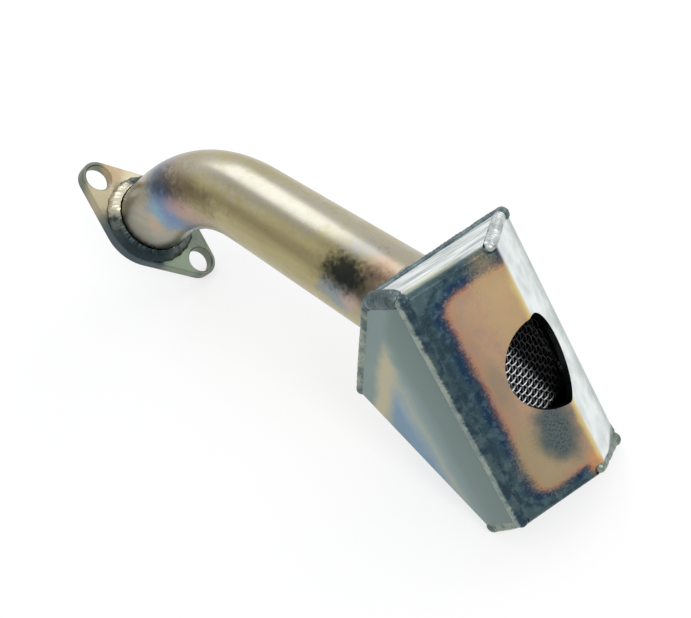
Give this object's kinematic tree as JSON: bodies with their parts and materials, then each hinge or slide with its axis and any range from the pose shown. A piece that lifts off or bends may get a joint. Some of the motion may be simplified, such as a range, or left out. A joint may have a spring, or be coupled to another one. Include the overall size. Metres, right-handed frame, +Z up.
{
  "type": "oil pickup tube",
  "caption": "Bent steel oil pickup tube with a two-bolt mounting flange and a welded, folded-sheet inlet box whose opening is covered by a woven wire screen.",
  "frame": {"origin": "centre of the bounding box's bottom face, on the surface that the part lies on", "axes": "+X level, along the part from the flange to the inlet box; +Z up with the part lying at rest on the lower flange lobe and the lower back edge of the box"},
  "size_m": [0.2, 0.0574, 0.0729],
  "materials": {
    "pan_steel": "bare mild steel, heat-tinted dark blue, bronze and straw by the welding",
    "cover_steel": "bare mild steel with grey-green and straw heat bands",
    "plate_steel": "bare mild steel",
    "tube_steel": "bare drawn tube, olive-gold, with blue and orange heat tint by the welds",
    "flange_steel": "bare cut plate with straw heat tint",
    "weld_metal": "rippled weld metal",
    "screen_wire": "plain woven wire"
  },
  "bodies": {
    "root": {"front_pan": "pan_steel", "side_back_cover": "cover_steel", "tube_plate": "plate_steel", "pickup_tube": "tube_steel", "flange_plate": "flange_steel", "mesh_screen": "screen_wire", "flange_fillet": "weld_metal", "tube_foot_fillet": "weld_metal", "back_end_bead": "weld_metal", "bottom_back_bead": "weld_metal", "bottom_left_bead": "weld_metal", "bottom_right_bead": "weld_metal", "front_left_bead": "weld_metal", "plate_end_bead": "weld_metal", "plate_left_bead": "weld_metal", "plate_top_bead": "weld_metal", "ridge_bead": "weld_metal", "top_left_bead": "weld_metal", "top_right_bead": "weld_metal", "screen_tack_front_lower": "weld_metal", "screen_tack_front_upper": "weld_metal", "screen_tack_right_lower": "weld_metal", "screen_tack_right_upper": "weld_metal"}
  },
  "joints": []
}
